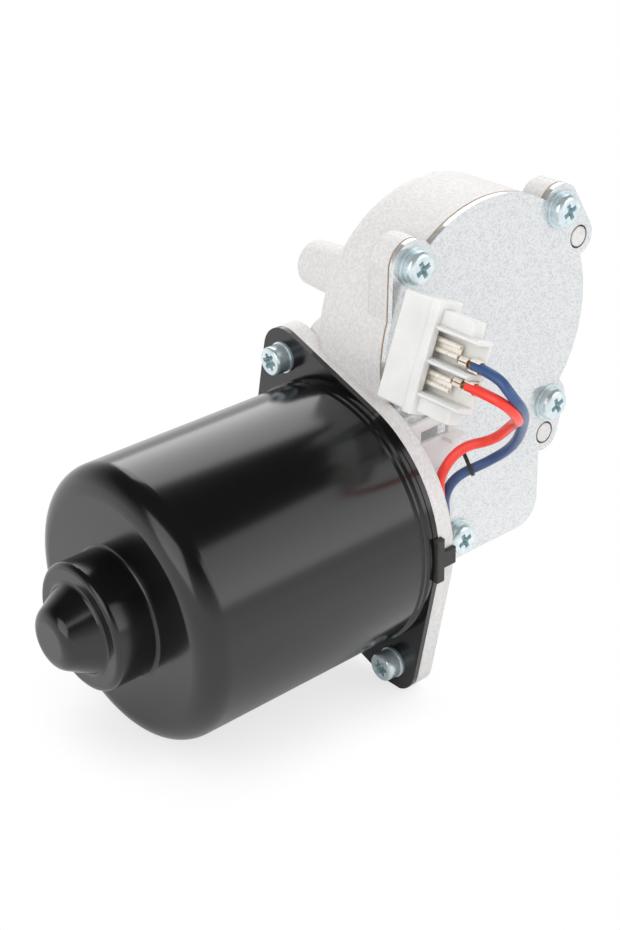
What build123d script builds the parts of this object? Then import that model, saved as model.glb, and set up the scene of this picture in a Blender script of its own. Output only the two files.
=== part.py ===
from build123d import *
import math
import os

# Wiper motor with a worm gear unit. Millimetres.
# While it is modelled, X runs along the motor axis from the can towards the gear case, Y along the
# output shaft from the cover towards the shaft end, Z up, and X = 0 is the joint of can and case.
# export_all moves everything so that the origin is the middle of the three-hole mounting face.

# ---- motor can
can_radius = 38.0
can_wall = 1.8
can_length = 77.0
can_shoulder = 7.0
stage_radius = 17.4
stage_length = 12.0
stage_lip_round = 1.6
stage_root_round = 1.0
cone_base_radius = 12.4
cone_tip_radius = 7.4
cone_tip_round = 4.0
cone_root_round = 1.4
cone_length = 8.8
bead_count = 2
bead_height = 0.5
bead_width = 1.3
bead_pitch = 2.0
flange_sheet = 1.6
flange_rim = 0.2
ear_radius = 8.4
ear_offset = 7.4
ear_angle = 61.0

# ---- die-cast gear case
case_flange = 5.2
case_neck_radius = 21.0
neck_root = 3.0
neck_round = 2.7
case_wall = 2.6
rim_depth = 7.0
chamber_back = 14.0
chamber_round = 5.0
boss_base_radius = 9.4
boss_tip_radius = 7.0
boss_root = 4.0
boss_tip_round = 1.2
boss_end = 58.0
tunnel_end_wall = 2.9
tunnel_end_round = 2.5
lug_radius = 7.2
lug_blend_angle = 158.0
post_radius = 2.9
post_lug_radius = 5.6
post_gap = 0.55
foot_depth = 22.0
foot_corner = 8.0
foot_screw_x = 29.5
foot_screw_rise = 7.5
foot_screw_inset = 7.5
cover_screw_angles = (136.5, 46.0, -49.5)
top_post_angle = 27.0
end_post_x = 2.2
end_post_z = 6.2

# ---- worm gear
gear_module = 1.5
wheel_teeth = 46
worm_pitch_radius = 11.5
worm_length = 28.0
worm_start_gap = 2.0
worm_end_gap = 1.5
wheel_side_gap = 1.0
thread_sink = 0.4
wheel_face_width = 12.0
wheel_hub_radius = 11.0
wheel_hub_length = 14.5
wheel_rim = 3.5
web_inset = 3.5
tooth_backlash = 0.35
pressure_angle = 20.0
addendum = 0.8
dedendum = 1.2
wheel_x = 41.0

# ---- shafts, bushes and bearing
armature_shaft_radius = 4.0
output_shaft_radius = 4.0
bearing_radius = 11.0
bearing_width = 7.0
bearing_start = 1.6
bearing_ring = 2.2
bearing_groove = 0.8
end_bush_radius = 6.5
end_bush_length = 4.0
rear_bush_radius = 8.0
rear_bush_length = 7.0
rear_bush_seat = 2.5
retainer_thickness = 1.5
boss_bore_radius = 5.5
boss_bush_length = 14.0
seal_length = 2.4
seal_inset = 0.4
shaft_thread_hole = 2.1
shaft_thread_depth = 12.0
drive_slot_width = 2.5
drive_slot_depth = 2.0
shaft_tail = 2.4
circlip_thickness = 1.0
circlip_width = 2.2

# ---- cover, gasket and screws
cover_thickness = 1.5
gasket_thickness = 0.5
cover_face = 15.2
screw_shank_radius = 2.4
screw_hole_radius = 2.75
cover_head_radius = 4.7
cover_head_height = 3.0
cover_head_round = 1.6
cover_screw_length = 6.0
cover_washer_radius = 5.4
washer_thickness = 0.8
washer_margin = 0.4
can_head_radius = 4.1
can_head_height = 4.3
can_head_round = 0.8
can_screw_length = 6.5
recess_depth = 1.8
recess_arm = 5.0
recess_width = 1.5
recess_centre = 1.1
recess_taper = 12.0
lobe_count = 6
lobe_radius = 2.5
lobe_gap_radius = 0.75
lobe_depth = 2.0
screw_turn = 24.0

# ---- electric parts
air_gap = 1.0
magnet_thickness = 11.0
rotor_slots = 12
slot_depth = 9.0
slot_opening = 2.4
winding_inset = 1.5
winding_hub = 3.0
winding_overhang = 6.0
commutator_radius = 11.0
commutator_length = 13.0
commutator_bars = 24
bar_groove_depth = 0.8
bar_groove_width = 0.5
commutator_neck = 3.0
rotor_rear_gap = 1.2
magnet_arc = 128.0
magnet_overlap = 1.0
brush_plate_face = -2.0
brush_plate_thickness = 2.0
brush_plate_bore = 13.0
brush_width = 6.0
brush_depth = 8.0
brush_length = 11.0
brush_spring_radius = 2.5
brush_spring_wire = 0.6
brush_spring_width = 5.0
holder_wall = 0.8

# ---- mounting face
mount_circle_radius = 30.0
mount_boss_radius = 7.0
mount_boss_height = 5.0
mount_hole_radius = 2.5
mount_hole_depth = 10.0
mount_count = 3
mount_start_angle = 67.0

# ---- leads and plug connector
lead_diameter = 2.8
grommet_radius = 6.0
grommet_body = 4.7
grommet_lip = 2.0
grommet_inset = 11.2
grommet_z = -2.5
lead_spread = 1.6
shroud_length = 29.0
shroud_depth = 13.0
shroud_thickness = 7.2
shroud_wall = 1.1
shroud_band = 3.0
shroud_step = 1.0
rear_depth = 14.0
rear_thickness = 5.6
rear_shift = -0.6
rear_wall = 0.7
connector_round = 0.6
connector_tilt = 21.5
connector_x = 3.8
connector_y = -33.0
connector_z = 55.4
connector_ways = 2
way_pitch = 8.8
way_width = 7.4
way_height = 3.8
rib_width = 0.8
rib_height = 0.6
cheek_length = 11.0
cheek_width = 4.2
terminal_sheet = 0.6
terminal_width = 5.4
terminal_roll = 0.8
terminal_inset = 1.0
terminal_neck = 2.0
crimp_radius = 1.75
crimp_length = 3.2
crimp_gap = 1.0
crimp_proud = 1.0
crimp_lean = 1.7
crimp_lead_in = 5.5
wire_crimp_radius = 1.15
wire_crimp_length = 2.8
guide_thickness = 1.2
guide_length = 20.5
guide_height = 16.0
guide_stand = 6.4
guide_low = 14.6
guide_lip = 3.6
guide_lip_length = 6.0
tie_width = 2.4
tie_thickness = 0.9

# ---- rubber plug in the flange joint
plug_head_length = 13.0
plug_head_width = 2.6
plug_stem_width = 5.0
plug_proud = 1.2
plug_inset = 1.0
plug_round = 0.5

# ---- clearances
shaft_end_gap = 1.2
seat_margin = 0.9
running_fit = 0.05
moving_gap = 0.5
slip_gap = 0.2
seat_gap = 0.1
overcut = 1.0
arc_share = 0.45

# ---- worked out from the sizes above
pitch = math.pi * gear_module
wheel_pitch_radius = gear_module * wheel_teeth / 2
wheel_outer_radius = wheel_pitch_radius + addendum * gear_module
wheel_root_radius = wheel_pitch_radius - dedendum * gear_module
worm_outer_radius = worm_pitch_radius + addendum * gear_module
worm_root_radius = worm_pitch_radius - dedendum * gear_module
wheel_z = wheel_pitch_radius + worm_pitch_radius
cavity_radius = wheel_outer_radius + moving_gap
chamber_radius = cavity_radius + case_wall
tunnel_radius = worm_outer_radius + moving_gap
tunnel_start = wheel_x - worm_length / 2 - worm_start_gap
tunnel_end = wheel_x + worm_length / 2 + worm_end_gap
case_end = tunnel_end + end_bush_length + tunnel_end_wall
cover_back = cover_face - cover_thickness
joint_face = cover_back - gasket_thickness
cavity_back = wheel_face_width / 2 + wheel_side_gap
wheel_hub_start = cavity_back - moving_gap - wheel_hub_length
boss_lug = chamber_back + mount_boss_height
can_end = -can_length
stage_end = can_end - stage_length
cone_end = stage_end - cone_length
can_inner = can_radius - can_wall
flange_radius = can_radius + flange_rim
ear_distance = can_radius + ear_offset
ear_y = ear_distance * math.cos(math.radians(ear_angle))
ear_z = ear_distance * math.sin(math.radians(ear_angle))
shaft_rear_end = stage_end + can_wall + shaft_end_gap
brush_middle = brush_plate_face - brush_plate_thickness - holder_wall - brush_depth / 2
commutator_start = brush_middle - commutator_length + brush_depth / 2 + moving_gap
rotor_end = commutator_start - commutator_neck - winding_overhang
rotor_start = can_end + can_wall + rotor_rear_gap + winding_overhang
rotor_length = rotor_end - rotor_start
magnet_outer = can_inner - seat_gap
magnet_inner = magnet_outer - magnet_thickness
rotor_radius = magnet_inner - air_gap
winding_radius = rotor_radius - winding_inset
grommet_y = -(can_radius - grommet_inset)
grommet_face = case_flange + grommet_lip
guide_back = grommet_y + guide_stand
connector_front = (shroud_depth + rear_depth) / 2
crimp_end = connector_front - shroud_depth - rear_depth - crimp_proud

screw_reach = cavity_radius + screw_shank_radius + seat_margin
post_reach = cavity_radius + post_radius + seat_margin


def polar(angle, reach):
    """Point in the cover plane at an angle and distance from the output shaft."""
    turn = math.radians(angle)
    return (wheel_x + reach * math.cos(turn), wheel_z + reach * math.sin(turn))


foot_screw = (foot_screw_x, -foot_depth + foot_screw_rise)
cover_screw_places = [polar(angle, screw_reach) for angle in cover_screw_angles] + [foot_screw]
post_places = [polar(top_post_angle, post_reach), (case_end + end_post_x, end_post_z)]


# ---- helpers
def slab_y(sketch, low, high):
    """Extrude an X-Z sketch from y = low to y = high."""
    return extrude(Plane.XZ.offset(-high) * sketch, high - low)


def slab_x(sketch, low, high):
    """Extrude a Y-Z sketch from x = low to x = high."""
    return extrude(Plane.YZ.offset(low) * sketch, high - low)


def rod_y(radius, low, high, place=None):
    """Cylinder along Y; its axis is the output shaft unless a place is given."""
    x, z = place or (wheel_x, wheel_z)
    return slab_y(Pos(x, z) * Circle(radius), low, high)


def rod_x(radius, low, high, y=0.0, z=0.0):
    """Cylinder along X; its axis is the motor axis unless y and z are given."""
    return slab_x(Pos(y, z) * Circle(radius), low, high)


def tube_x(outer, inner, low, high):
    """Ring about the motor axis."""
    return rod_x(outer, low, high) - rod_x(inner, low - overcut, high + overcut)


def tube_y(outer, inner, low, high):
    """Ring about the output shaft."""
    return rod_y(outer, low, high) - rod_y(inner, low - overcut, high + overcut)


def revolve_x(points, corners=()):
    """Revolve an (x, radius) outline about the motor axis; corners = [(x, radius, fillet)]."""
    face = make_face(Polyline(*[(x, r, 0) for x, r in points], close=True))
    for x, r, size in corners:
        nearest = face.vertices().sort_by_distance((x, r, 0))[0]
        face = fillet(nearest, size)
    return revolve(face, Axis.X)


def revolve_shaft(points, corners=()):
    """Revolve a (y, radius) outline about the output shaft; corners = [(y, radius, fillet)]."""
    return Pos(wheel_x, 0, wheel_z) * Rot(0, 0, 90) * revolve_x(points, corners)


def hull_of(places, radii):
    """Outline drawn tightly round circles at the given places."""
    rings = [Pos(*place) * Circle(radius) for place, radius in zip(places, radii)]
    return make_hull([ring.edges()[0] for ring in rings])


# ---- motor can and what it holds
def flange_outline():
    """Round flange with two screw ears on opposite sides, joined by straight edges."""
    return hull_of([(0, 0), (ear_y, ear_z), (-ear_y, -ear_z)], [flange_radius, ear_radius, ear_radius])


def ear_holes(radius, low, high):
    """Cutters for the two ear screws."""
    return rod_x(radius, low, high, ear_y, ear_z) + rod_x(radius, low, high, -ear_y, -ear_z)


def motor_can():
    """Deep-drawn can: stepped closed end, beads by the flange, flange with two ears."""
    beads = []
    for number in range(bead_count, 0, -1):
        middle = -flange_sheet - number * bead_pitch
        beads.append((middle - bead_width / 2, can_radius))
        beads.append((middle, can_radius + bead_height))
        beads.append((middle + bead_width / 2, can_radius))
    outside = [(cone_end, 0), (cone_end, cone_tip_radius), (stage_end, cone_base_radius),
               (stage_end, stage_radius), (can_end, stage_radius), (can_end, can_radius), *beads,
               (0, can_radius)]
    steps = [(can_end, can_inner), (can_end, stage_radius - can_wall), (stage_end, stage_radius - can_wall),
             (stage_end, cone_base_radius - can_wall), (cone_end, cone_tip_radius - can_wall), (cone_end, 0)]
    outline = outside + [(0, can_inner)] + [(x + can_wall, radius) for x, radius in steps]
    corners = [(cone_end, cone_tip_radius, cone_tip_round), (stage_end, cone_base_radius, cone_root_round),
               (stage_end, stage_radius, stage_lip_round), (can_end, stage_radius, stage_root_round),
               (can_end, can_radius, can_shoulder),
               (can_end + can_wall, can_inner, can_shoulder - can_wall)]
    can = revolve_x(outline, corners)
    flange = slab_x(flange_outline() - Circle(can_radius - can_wall / 2), -flange_sheet, 0)
    holes = ear_holes(screw_hole_radius, -flange_sheet - overcut, overcut)
    return can + flange - holes - plug_shape(running_fit)


def field_magnets():
    """Two ferrite arcs bonded inside the can."""
    low = rotor_start - magnet_overlap
    magnet_length = rotor_length + 2 * magnet_overlap
    ring = Circle(magnet_outer) - Circle(magnet_inner)
    half = math.radians(magnet_arc / 2)
    far = 3 * can_radius
    x, y = far * math.cos(half), far * math.sin(half)
    arc = ring & make_face(Polyline((0, 0), (x, y), (far, 0), (x, -y), close=True))
    return [slab_x(Rot(0, 0, turn) * arc, low, low + magnet_length) for turn in (0, 180)]


def rear_bush():
    """Sintered bush at the closed end of the can."""
    low = stage_end + can_wall + rear_bush_seat
    return tube_x(rear_bush_radius, armature_shaft_radius + running_fit, low, low + rear_bush_length)


def rear_bush_retainer():
    """Pressed ring that holds the rear bush in the stepped end."""
    low = stage_end + can_wall + rear_bush_seat + (rear_bush_length - retainer_thickness) / 2
    return tube_x(stage_radius - can_wall - seat_gap, rear_bush_radius, low, low + retainer_thickness)


def rear_thrust_pad():
    """Nylon pad in the nose that takes the end thrust of the armature."""
    return rod_x(cone_tip_radius - can_wall - seat_gap, cone_end + can_wall, shaft_rear_end - seat_gap)


# ---- armature
def armature_shaft():
    """Steel shaft from the rear bush to the bush past the worm."""
    return rod_x(armature_shaft_radius, shaft_rear_end, tunnel_end + end_bush_length - moving_gap)


def rotor_core():
    """Slotted stack of laminations."""
    sketch = Circle(rotor_radius) - Circle(armature_shaft_radius)
    for step in range(rotor_slots):
        slot = Pos(rotor_radius - slot_depth / 2, 0) * Rectangle(slot_depth + overcut, slot_opening)
        sketch -= Rot(0, 0, step * 360 / rotor_slots) * slot
    return slab_x(sketch, rotor_start, rotor_start + rotor_length)


def rotor_winding():
    """Copper end turns on both sides of the core."""
    ends = []
    hub = armature_shaft_radius + winding_hub
    for low in (rotor_start - winding_overhang, rotor_end):
        ring = tube_x(winding_radius, hub, low, low + winding_overhang)
        ends.append(ring)
    return ends


def commutator():
    """Ring of copper bars with insulating grooves between them."""
    sketch = Circle(commutator_radius) - Circle(armature_shaft_radius)
    for step in range(commutator_bars):
        groove = Pos(commutator_radius, 0) * Rectangle(2 * bar_groove_depth, bar_groove_width)
        sketch -= Rot(0, 0, step * 360 / commutator_bars) * groove
    return slab_x(sketch, commutator_start, commutator_start + commutator_length)


def worm():
    """Single-start worm: a trapezoid swept along a helix, on a plain core."""
    low = wheel_x - worm_length / 2
    slope = math.tan(math.radians(pressure_angle))
    height = worm_outer_radius - worm_root_radius
    pitch_width = pitch / 2 - tooth_backlash
    root_width = pitch_width + 2 * slope * (worm_pitch_radius - worm_root_radius)
    tip_width = root_width - 2 * slope * height
    turns = 2 * ((worm_length - pitch) // (2 * pitch))
    helix = Edge.make_helix(pitch, turns * pitch, worm_pitch_radius)
    base = worm_root_radius - thread_sink
    outline = Polyline((base, 0, -root_width / 2), (worm_outer_radius, 0, -tip_width / 2),
                       (worm_outer_radius, 0, tip_width / 2), (base, 0, root_width / 2), close=True)
    thread = sweep(make_face(outline), path=helix, is_frenet=True)
    # with an even number of turns a thread space faces the wheel's tooth on the line of centres
    start = wheel_x - turns * pitch / 2
    thread = Pos(start, 0, 0) * Rot(0, 90, 0) * thread
    core = rod_x(worm_root_radius, low, low + worm_length)
    return core + thread - rod_x(armature_shaft_radius, low - overcut, low + worm_length + overcut)


# ---- output
def tooth_space():
    """Gap between two wheel teeth, in the X-Z plane with the wheel's centre at the origin."""
    slope = math.tan(math.radians(pressure_angle))
    half = (pitch / 2 + tooth_backlash) / 2
    top = half + slope * (wheel_outer_radius + overcut - wheel_pitch_radius)
    bottom = half - slope * (wheel_pitch_radius - wheel_root_radius)
    return make_face(Polyline((wheel_root_radius, -bottom), (wheel_outer_radius + overcut, -top),
                              (wheel_outer_radius + overcut, top), (wheel_root_radius, bottom), close=True))


def worm_wheel():
    """Moulded wheel: hub, web and teeth set at the worm's lead angle."""
    lead_angle = math.atan(gear_module / (2 * worm_pitch_radius))
    half = wheel_face_width / 2
    shift = math.degrees(math.tan(lead_angle) * half / wheel_pitch_radius)
    spacing = 360 / wheel_teeth
    blank = Circle(wheel_outer_radius)
    for step in range(wheel_teeth):
        # the first space lies half a spacing past the line of centres, so a tooth stands on it
        blank -= Rot(0, 0, -90 + (step + 0.5) * spacing) * tooth_space()
    front = Plane.XZ.offset(half) * Pos(wheel_x, wheel_z) * Rot(0, 0, shift) * blank
    back = Plane.XZ.offset(-half) * Pos(wheel_x, wheel_z) * Rot(0, 0, -shift) * blank
    wheel = loft([front.faces()[0], back.faces()[0]], ruled=True)
    web_cut = Circle(wheel_root_radius - wheel_rim) - Circle(wheel_hub_radius)
    for low, high in ((-half - overcut, -half + web_inset), (half - web_inset, half + overcut)):
        wheel -= slab_y(Pos(wheel_x, wheel_z) * web_cut, low, high)
    wheel += rod_y(wheel_hub_radius, wheel_hub_start, cavity_back - moving_gap)
    return wheel - rod_y(output_shaft_radius, wheel_hub_start - overcut, cavity_back)


def output_shaft():
    """Steel output shaft: cross slot and tapped hole in its end face."""
    shaft = rod_y(output_shaft_radius, wheel_hub_start - shaft_tail, boss_end)
    slot = Pos(wheel_x, wheel_z) * Rectangle(2 * output_shaft_radius + overcut, drive_slot_width)
    shaft -= slab_y(slot, boss_end - drive_slot_depth, boss_end + overcut)
    return shaft - rod_y(shaft_thread_hole, boss_end - shaft_thread_depth, boss_end + overcut)


def output_bushes():
    """Two sintered bushes in the long boss."""
    inner = output_shaft_radius + running_fit
    outer_end = boss_end - seal_inset - seal_length - slip_gap
    return [tube_y(boss_bore_radius, inner, cavity_back, cavity_back + boss_bush_length),
            tube_y(boss_bore_radius, inner, outer_end - boss_bush_length, outer_end)]


def output_seal():
    """Rubber ring at the mouth of the boss."""
    high = boss_end - seal_inset
    return tube_y(boss_bore_radius, output_shaft_radius + running_fit, high - seal_length, high)


def wheel_circlip():
    """Open retaining ring on the shaft's inner end, against the wheel's hub."""
    ring = Circle(output_shaft_radius + circlip_width) - Circle(output_shaft_radius)
    gap = Pos(output_shaft_radius + circlip_width, 0) * Rectangle(3 * circlip_width, circlip_width)
    high = wheel_hub_start - seat_gap
    return slab_y(Pos(wheel_x, wheel_z) * (ring - gap), high - circlip_thickness, high)


def wheel_thrust_washer():
    """Washer between the wheel's hub and the case."""
    low = cavity_back - moving_gap + seat_gap
    return tube_y(wheel_hub_radius - washer_margin, output_shaft_radius + running_fit, low, cavity_back)


# ---- gear case
def cover_outline():
    """Outline shared by cover, gasket and rim: gear circle, worm foot and lugs."""
    foot_left = foot_screw_x - foot_screw_inset
    foot_width = case_end - foot_left
    foot = Pos(foot_left + foot_width / 2, (wheel_z - foot_depth) / 2) * RectangleRounded(
        foot_width, wheel_z + foot_depth, foot_corner)
    outline = Pos(wheel_x, wheel_z) * Circle(chamber_radius) + foot
    for place in cover_screw_places:
        outline += Pos(*place) * Circle(lug_radius)
    lug_foot = polar(lug_blend_angle, chamber_radius - lug_radius)
    outline += hull_of([cover_screw_places[0], lug_foot], [lug_radius, lug_radius])
    for post, lug in zip(post_places, cover_screw_places[1:3]):
        outline += hull_of([post, lug], [post_lug_radius, lug_radius])
    edge = case_flange + moving_gap
    beside_flange = Pos(edge - can_radius, 0) * Rectangle(2 * can_radius, 2 * (flange_radius + moving_gap))
    return outline - beside_flange


def case_space():
    """Hollow of the case in the cover plane: round gear chamber and the worm's trough."""
    middle = (tunnel_start + tunnel_end) / 2
    trough = Pos(middle, 0) * Rectangle(tunnel_end - tunnel_start, armature_shaft_radius)
    return Pos(wheel_x, wheel_z) * Circle(cavity_radius) + trough


def screw_and_post_holes(screw, post):
    """Round holes at every cover screw and locating post."""
    holes = Pos(*cover_screw_places[0]) * Circle(screw)
    for place in cover_screw_places[1:]:
        holes += Pos(*place) * Circle(screw)
    for place in post_places:
        holes += Pos(*place) * Circle(post)
    return holes


def mount_places():
    """Three places on the mounting circle."""
    angles = [mount_start_angle + step * 360 / mount_count for step in range(mount_count)]
    return [polar(angle, mount_circle_radius) for angle in angles]


def worm_tunnel():
    """Turned form along the motor axis: neck behind the flange, then the tube round the worm."""
    root = case_neck_radius + neck_root
    outer = tunnel_radius + case_wall
    outline = [(case_flange / 2, 0), (case_flange / 2, root), (case_flange, root),
               (case_flange, case_neck_radius), (tunnel_start, case_neck_radius),
               (tunnel_start + neck_root, outer), (case_end, outer), (case_end, 0)]
    corners = [(case_flange, case_neck_radius, neck_round), (case_end, outer, tunnel_end_round)]
    return revolve_x(outline, corners)


def chamber_and_boss():
    """Turned form about the output shaft: round chamber, blended into the long tapered boss."""
    outline = [(-joint_face, 0), (-joint_face, chamber_radius), (chamber_back, chamber_radius),
               (chamber_back, boss_base_radius), (boss_end, boss_tip_radius), (boss_end, 0)]
    corners = [(chamber_back, chamber_radius, chamber_round), (chamber_back, boss_base_radius, boss_root),
               (boss_end, boss_tip_radius, boss_tip_round)]
    return revolve_shaft(outline, corners)


def gear_housing():
    """Die-cast case: flange, neck, gear chamber, worm tunnel, shaft boss, lugs and posts."""
    case = slab_x(flange_outline(), 0, case_flange) + worm_tunnel() + chamber_and_boss()
    case += slab_y(cover_outline(), -joint_face, -joint_face + rim_depth)
    for place in mount_places():
        case += rod_y(mount_boss_radius, 0, boss_lug, place)
        case -= rod_y(mount_hole_radius, boss_lug - mount_hole_depth, boss_lug + overcut, place)
    case -= rod_x(flange_radius + overcut, -can_length, 0)
    case -= slab_y(cover_outline(), -2 * joint_face, -joint_face)
    case -= rod_y(cavity_radius, -joint_face - overcut, cavity_back)
    case -= rod_x(tunnel_radius, tunnel_start, tunnel_end)
    case -= rod_x(end_bush_radius, tunnel_end - overcut, tunnel_end + end_bush_length)
    case -= rod_x(armature_shaft_radius + wheel_side_gap, -overcut, tunnel_start + overcut)
    case -= rod_x(bearing_radius, -overcut, bearing_start + bearing_width)
    case -= rod_y(boss_bore_radius, cavity_back - overcut, boss_end + overcut)
    case -= ear_holes(screw_shank_radius + running_fit, -overcut, case_flange + overcut)
    case -= rod_x(grommet_body + running_fit, -overcut, case_flange + overcut, grommet_y, grommet_z)
    case -= rod_x(grommet_radius + slip_gap, case_flange, grommet_face + slip_gap, grommet_y, grommet_z)
    case -= plug_shape(running_fit)
    screw_end = -joint_face + cover_screw_length
    for place in cover_screw_places:
        case -= rod_y(screw_shank_radius + running_fit, -joint_face - overcut, screw_end, place)
    for place in post_places:
        case += rod_y(post_radius, -cover_face, -joint_face + overcut, place)
    return case


def cover_plate():
    """Flat galvanised cover with screw holes and holes for the two posts."""
    sketch = cover_outline() - screw_and_post_holes(screw_hole_radius, post_radius + post_gap)
    return slab_y(sketch, -cover_face, -cover_back)


def cover_gasket():
    """Paper gasket with the outline of the rim and the case's hollow left open."""
    sketch = cover_outline() - screw_and_post_holes(screw_hole_radius, post_radius + post_gap) - case_space()
    return slab_y(sketch, -cover_back, -joint_face)


def cross_recess():
    """Tapered cross-shaped driver recess in the X-Y plane, cut downwards from z = 0."""
    cross = Rectangle(recess_arm, recess_width) + Rectangle(recess_width, recess_arm)
    return extrude(cross + Circle(recess_centre), -recess_depth, taper=recess_taper)


def lobe_recess():
    """Six-lobed driver recess in the X-Y plane, cut downwards from z = 0."""
    star = Circle(lobe_radius)
    for step in range(lobe_count):
        star -= Rot(0, 0, step * 360 / lobe_count) * Pos(lobe_radius, 0) * Circle(lobe_gap_radius)
    return extrude(star, -lobe_depth)


def screw(head_radius, head_height, length, rounding, recess):
    """Screw with its head on z = 0 upwards, a driver recess in it, and its shank downwards."""
    head = extrude(Circle(head_radius), head_height)
    head = fillet(head.edges().sort_by(Axis.Z)[-1], rounding)
    head -= Pos(0, 0, head_height) * recess
    return head + extrude(Circle(screw_shank_radius), -length)


def washer(radius):
    """Plain washer from z = -washer_thickness to z = 0."""
    return extrude(Circle(radius) - Circle(screw_shank_radius + seat_gap), -washer_thickness)


def cover_screws_and_washers():
    """Four pan-head screws on washers, standing on the cover."""
    screws, washers = [], []
    for place in cover_screw_places:
        seat = Pos(place[0], -cover_face - washer_thickness, place[1]) * Rot(90, 0, 0)
        shank = cover_screw_length + cover_thickness + gasket_thickness
        head = screw(cover_head_radius, cover_head_height, shank, cover_head_round, cross_recess())
        screws.append(seat * Rot(0, 0, screw_turn) * head)
        washers.append(seat * washer(cover_washer_radius))
    return screws, washers


def can_screws_and_washers():
    """Two cheese-head screws through the can's ears into the case."""
    head = screw(can_head_radius, can_head_height, can_screw_length, can_head_round, lobe_recess())
    screws, washers = [], []
    for sign in (1, -1):
        seat = Pos(-flange_sheet - washer_thickness, sign * ear_y, sign * ear_z) * Rot(0, -90, 0)
        screws.append(seat * head)
        washers.append(seat * washer(can_head_radius + washer_margin))
    return screws, washers


# ---- bearings, brush gear and small fittings
def front_bearing():
    """Ball bearing in the case's front wall, shown as one ring with its face grooves."""
    low, high = bearing_start, bearing_start + bearing_width
    ring = tube_x(bearing_radius, armature_shaft_radius + running_fit, low, high)
    inner_ring = armature_shaft_radius + bearing_ring
    groove = tube_x(bearing_radius - bearing_ring, inner_ring, low - overcut, low + bearing_groove)
    return ring - groove


def worm_end_bush():
    """Sintered bush past the worm."""
    high = tunnel_end + end_bush_length - slip_gap
    return tube_x(end_bush_radius, armature_shaft_radius + running_fit, tunnel_end, high)


def brush_plate():
    """Insulating plate that carries the brush gear."""
    low = brush_plate_face - brush_plate_thickness
    return tube_x(can_inner - seat_gap, brush_plate_bore, low, brush_plate_face)


def brush_sides():
    """The two brush positions as rotations about the motor axis."""
    return [Rot(turn, 0, 0) for turn in (0, 180)]


def brush_block(width, depth, inner, outer):
    """Block across the commutator on the +Y side, behind the brush plate."""
    return Pos(brush_middle, (inner + outer) / 2, 0) * Box(depth, outer - inner, width)


def brush_holders():
    """Brass boxes on the brush plate."""
    inner = commutator_radius + holder_wall + seat_gap
    outer = inner + brush_length
    box = brush_block(brush_width + 2 * holder_wall, brush_depth + 2 * holder_wall, inner, outer)
    box -= brush_block(brush_width + seat_gap, brush_depth + seat_gap, inner - overcut, outer + overcut)
    return [side * box for side in brush_sides()]


def brushes():
    """Carbon brushes, just clear of the commutator."""
    inner = commutator_radius + seat_gap
    block = brush_block(brush_width, brush_depth, inner, inner + brush_length)
    curve = rod_x(inner, -can_length, 0)
    return [side * (block - curve) for side in brush_sides()]


def brush_springs():
    """Flat coil springs that press on the brushes' backs."""
    inner = commutator_radius + seat_gap + brush_length
    bore = brush_spring_radius - brush_spring_wire
    ring = Cylinder(brush_spring_radius, brush_spring_width) - Cylinder(bore, 2 * brush_spring_width)
    coil = Pos(brush_middle, inner + brush_spring_radius, 0) * ring
    return [side * coil for side in brush_sides()]


def plug_shape(extra):
    """T-shaped block across the flange joint on the -Y side, grown by extra for its notch."""
    low = -flange_radius - plug_proud - extra
    depth = plug_proud + plug_inset + 2 * extra
    middle = low + depth / 2
    head_x = plug_head_width / 2 - flange_sheet
    head = Pos(head_x, middle, 0) * Box(plug_head_width + 2 * extra, depth, plug_head_length + 2 * extra)
    stem_length = case_flange - head_x
    stem = Pos(head_x + stem_length / 2, middle, 0) * Box(stem_length, depth, plug_stem_width + 2 * extra)
    return head + stem


def rubber_plug():
    """Rubber plug in the notch of the flange joint, rounded where it stands out."""
    plug = plug_shape(0)
    return fillet(plug.faces().sort_by(Axis.Y)[0].edges(), plug_round)


# ---- leads, grommet, guide and plug connector
def lead_grommet():
    """Rubber grommet where the leads leave the case flange."""
    body = rod_x(grommet_body, 0, case_flange + grommet_lip / 2, grommet_y, grommet_z)
    return body + rod_x(grommet_radius, case_flange, case_flange + grommet_lip, grommet_y, grommet_z)


def connector_frame():
    """Place of the connector: its length along local Z, its ways along local Y, crimps towards -Y."""
    return Pos(connector_x, connector_y, connector_z) * Rot(0, connector_tilt, 0)


def way_offsets():
    """Heights of the connector's ways along its length, in the connector's own frame."""
    return [rear_shift + (step - (connector_ways - 1) / 2) * way_pitch for step in range(connector_ways)]


def crimp_height(offset):
    """Height of a way's crimp, which leans towards the middle of the connector."""
    return offset - math.copysign(crimp_lean, offset - rear_shift)


def crimp_point(way, before=0.0):
    """Where a lead meets the end of its crimp, or a point that far before it."""
    place = (connector_frame() * Pos(0, crimp_end - before, crimp_height(way_offsets()[way]))).position
    return (place.X, place.Y, place.Z)


# the routes run from the grommet round a loose loop in front of the cover to the crimps
blue_y = grommet_y + lead_spread
blue_z = grommet_z - lead_spread
blue_route = [(grommet_face, blue_y, blue_z), (13.4, blue_y, blue_z), (17.0, -25.6, 1.2), (16.8, -26.2, 8.2),
              (17.6, -27.2, 14.0), (23.0, -31.5, 18.4), (25.4, -40.0, 25.6), (21.8, -49.2, 36.6),
              (14.0, -56.2, 47.2), (6.6, -57.4, 54.8), crimp_point(1, crimp_lead_in), crimp_point(1)]
red_y = grommet_y - lead_spread
red_z = grommet_z + lead_spread
red_route = [(grommet_face, red_y, red_z), (12.2, red_y, red_z), (14.6, -28.7, 3.2), (14.2, -28.5, 9.2),
             (12.2, -28.2, 17.0), (15.8, -30.4, 23.6), (20.4, -38.0, 28.4), (19.6, -46.4, 35.6),
             (12.6, -54.2, 43.0), (5.2, -56.6, 48.4), crimp_point(0, crimp_lead_in), crimp_point(0)]


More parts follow.
